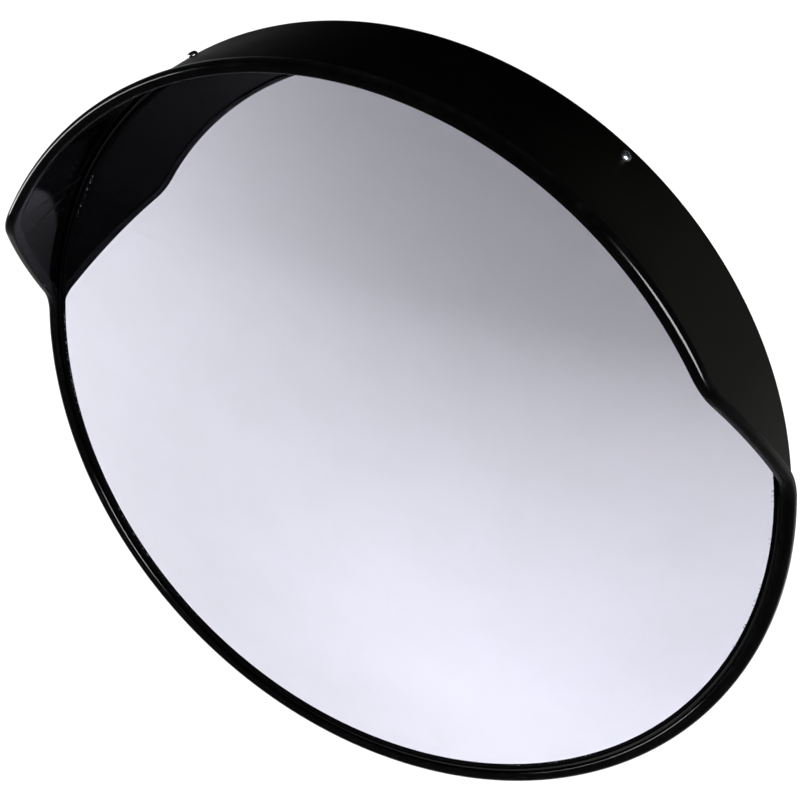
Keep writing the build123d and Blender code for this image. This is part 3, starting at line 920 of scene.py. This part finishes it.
def studio_world():
    """A dim room: even in front, dark above the hood, a little lighter at the rear horizon."""
    world = bpy.data.worlds.new("studio")
    bpy.context.scene.world = world
    world.use_nodes = True
    nodes, links = world.node_tree.nodes, world.node_tree.links
    nodes.clear()
    where = nodes.new("ShaderNodeTexCoord").outputs["Generated"]
    parts = nodes.new("ShaderNodeSeparateXYZ")
    links.new(where, parts.inputs[0])

    def ramp(value, low, high, to_low, to_high):
        node = nodes.new("ShaderNodeMapRange")
        node.interpolation_type = "SMOOTHSTEP"
        for key, number in (("From Min", low), ("From Max", high), ("To Min", to_low),
                            ("To Max", to_high)):
            node.inputs[key].default_value = number
        links.new(value, node.inputs["Value"])
        return node.outputs[0]

    front = ramp(parts.outputs[1], -0.1, 0.3, 1.0, 0.0)
    front_level = ramp(parts.outputs[2], 0.0, 0.9, 0.012, 0.006)
    rear_level = ramp(parts.outputs[2], -0.1, 0.2, 0.40, 0.004)
    level = nodes.new("ShaderNodeMix")
    links.new(front, level.inputs[0])
    links.new(rear_level, level.inputs[2])
    links.new(front_level, level.inputs[3])
    shown = nodes.new("ShaderNodeMix")
    links.new(nodes.new("ShaderNodeLightPath").outputs["Is Camera Ray"], shown.inputs[0])
    links.new(level.outputs[0], shown.inputs[2])
    shown.inputs[3].default_value = 1.02    # white behind the object
    sky = nodes.new("ShaderNodeBackground")
    sky.inputs["Color"].default_value = (0.98, 0.98, 1.0, 1.0)
    links.new(shown.outputs[0], sky.inputs["Strength"])
    out = nodes.new("ShaderNodeOutputWorld")
    links.new(sky.outputs[0], out.inputs["Surface"])


def backdrop(drop, paper):
    """A cove of paper in front and to the left, which only the mirror looks at."""
    start, overlap, bend, wall = 3.2, 0.4, 2.2, 1.6
    low = -drop + MM
    steps = 16
    points = [(start - overlap, low)]
    for i in range(steps + 1):
        angle = pi / 2 * i / steps
        points.append((start + bend * sin(angle), low + bend * (1 - cos(angle))))
    points.append((start + bend, points[-1][1] + wall))
    obj = loop("backdrop", [(0.0, -radius, z) for radius, z in points])
    open_loop(obj)
    left, right = BACKDROP_SPAN
    place_mesh(obj, Matrix.Rotation(radians(-left), 4, "Z"))
    edit_all(obj)
    bpy.ops.mesh.spin(steps=80, angle=-radians(right + left), center=(0, 0, 0), axis=(0, 0, 1))
    bpy.ops.object.mode_set(mode="OBJECT")
    place_mesh(obj, Matrix.Translation((0, RIM_Y, 0)))
    smooth(obj, 60)
    dress(obj, paper)
    return obj


def place_camera(scene):
    """A camera to the right and above, aimed a little beside the middle of the rim."""
    az, el, tilt = (radians(a) for a in CAMERA_TURN)
    reach, slide, lift = CAMERA_REACH
    back = Vector((sin(az) * cos(el), -cos(az) * cos(el), sin(el)))
    right = (-back).cross(Z_AXIS).normalized()
    up = right.cross(-back)
    place = back * reach + right * slide + up * lift
    roll = Matrix.Rotation(tilt, 3, "Y")
    place, back, right, up = (roll @ v for v in (place, back, right, up))
    data = bpy.data.cameras.new("camera")
    data.sensor_width = SENSOR_WIDTH
    data.lens = FOCAL_LENGTH
    data.clip_end = 100.0
    camera = bpy.data.objects.new("camera", data)
    scene.collection.objects.link(camera)
    turned = Matrix((right, up, back)).transposed().to_4x4()
    middle = Vector((0, RIM_Y, 0))
    camera.matrix_world = Matrix.Translation(middle + place * RIM_RADIUS) @ turned
    scene.camera = camera


class MIRROR_OT_stage(bpy.types.Operator):
    """Makes the floor, the studio light and the camera"""
    bl_idname = "mirror.stage"
    bl_label = "Stage"

    def execute(self, context):
        s = context.scene.mirror_settings
        context.scene.view_settings.view_transform = "Standard"
        paper = floor_paper()
        deselect()
        bpy.ops.mesh.primitive_circle_add(vertices=96, radius=4.2, fill_type="NGON",
                                          location=(0, RIM_Y, -s.floor_drop))
        floor = named(context.object, "floor")
        settle(floor)
        dress(floor, paper)
        backdrop(s.floor_drop, paper)

        studio_world()
        for name, place, width, share in STUDIO_LIGHTS:
            soft_light(name, place, (place[0], place[1], 0.0), (width, width),
                       s.key_power * share, highlights=False)
        soft_light("right_box", (1.98, -1.31, 0.90), (0.24, -0.28, 0.17), (1.2, 1.2), 1300.0,
                   shape="ELLIPSE")
        soft_light("left_box", (-2.38, -1.31, 0.20), (-0.22, -0.28, 0.2), (0.30, 1.8), 400.0,
                   long=(-0.30, 0.57, -0.76))
        place_camera(context.scene)
        return {"FINISHED"}


# ---------------------------------------------------------------- panel and registration

class MIRROR_PT_panel(bpy.types.Panel):
    """Lists the settings and the operators"""
    bl_idname = "MIRROR_PT_panel"
    bl_label = "Hooded convex mirror"
    bl_space_type = "VIEW_3D"
    bl_region_type = "UI"
    bl_category = "Mirror"

    def draw(self, context):
        s = context.scene.mirror_settings
        for key in ("dome_radius", "lens_radius", "lens_thickness", "floor_drop", "key_power"):
            self.layout.prop(s, key)
        for operator in OPERATORS:
            self.layout.operator(operator.bl_idname)


OPERATORS = (MIRROR_OT_lens, MIRROR_OT_bead, MIRROR_OT_hood, MIRROR_OT_screws, MIRROR_OT_fixings,
             MIRROR_OT_bracket, MIRROR_OT_stage)
CLASSES = (MirrorSettings, *OPERATORS, MIRROR_PT_panel)


def register():
    for item in CLASSES:
        bpy.utils.register_class(item)
    bpy.types.Scene.mirror_settings = bpy.props.PointerProperty(type=MirrorSettings)


def unregister():
    del bpy.types.Scene.mirror_settings
    for item in reversed(CLASSES):
        bpy.utils.unregister_class(item)


def main():
    register()
    bpy.ops.mirror.lens()
    bpy.ops.mirror.bead()
    bpy.ops.mirror.hood()
    bpy.ops.mirror.screws()
    bpy.ops.mirror.fixings()
    bpy.ops.mirror.bracket()
    bpy.ops.mirror.stage()


if __name__ == "__main__":
    main()
